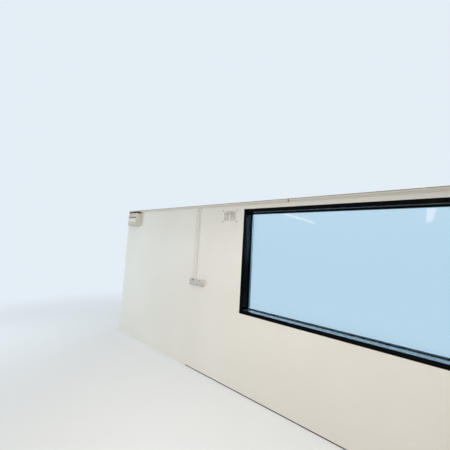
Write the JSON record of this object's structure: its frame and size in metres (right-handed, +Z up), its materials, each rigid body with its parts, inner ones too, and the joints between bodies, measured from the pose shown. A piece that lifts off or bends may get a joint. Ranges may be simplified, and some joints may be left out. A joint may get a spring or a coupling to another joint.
{
  "type": "cabin side wall with picture window",
  "caption": "Insulated panel side wall of a portable site cabin with a black-framed fixed picture window, trunking, two sockets, an air vent and a small consumer unit.",
  "frame": {"origin": "middle of the underside of the base channel, on the flat face that is bolted down", "axes": "+X along the wall, to the right as seen from the room; +Y through the wall from the room to the outside; +Z up"},
  "size_m": [8.7, 0.3035, 2.403],
  "materials": {
    "panel_skin": "smooth off-white coated steel",
    "painted_steel": "off-white coated folded steel",
    "galvanised_steel": "galvanised",
    "black_frame": "satin black powder coat",
    "glass": "clear float glass with a faint green cast",
    "spacer_aluminium": "mill",
    "gasket_rubber": "matt",
    "trim_plastic": "satin off-white",
    "white_plastic": "satin white moulded"
  },
  "bodies": {
    "root": {"panel_end_left": "panel_skin", "panel_left": "panel_skin", "panel_window_left": "panel_skin", "panel_below_left": "panel_skin", "panel_below_right": "panel_skin", "panel_above_left": "panel_skin", "panel_above_right": "panel_skin", "panel_window_right": "panel_skin", "panel_right": "panel_skin", "panel_end_right": "panel_skin", "base_channel": "galvanised_steel", "end_channel_left": "galvanised_steel", "end_channel_right": "galvanised_steel", "head_channel": "painted_steel", "window_frame_sill": "black_frame", "window_frame_head": "black_frame", "window_frame_left": "black_frame", "window_frame_right": "black_frame", "glazing_bead_sill": "black_frame", "glazing_bead_head": "black_frame", "glazing_bead_left": "black_frame", "glazing_bead_right": "black_frame", "glass_inner_pane": "glass", "glass_outer_pane": "glass", "glass_spacer": "spacer_aluminium", "gasket_inner": "gasket_rubber", "gasket_outer": "gasket_rubber", "outside_angle_head": "black_frame", "outside_angle_left": "black_frame", "outside_angle_right": "black_frame", "outside_sill": "black_frame", "ceiling_trim_left": "trim_plastic", "ceiling_trim_right": "trim_plastic", "trunking_base": "white_plastic", "trunking_lid": "white_plastic", "socket_left_back_box": "white_plastic", "socket_left_plate": "white_plastic", "socket_right_back_box": "white_plastic", "socket_right_plate": "white_plastic", "vent_inner_plate": "white_plastic", "vent_outer_plate": "white_plastic", "vent_sleeve": "white_plastic", "consumer_unit_tray": "white_plastic", "consumer_unit_cover": "white_plastic", "consumer_unit_flap": "white_plastic"}
  },
  "joints": []
}
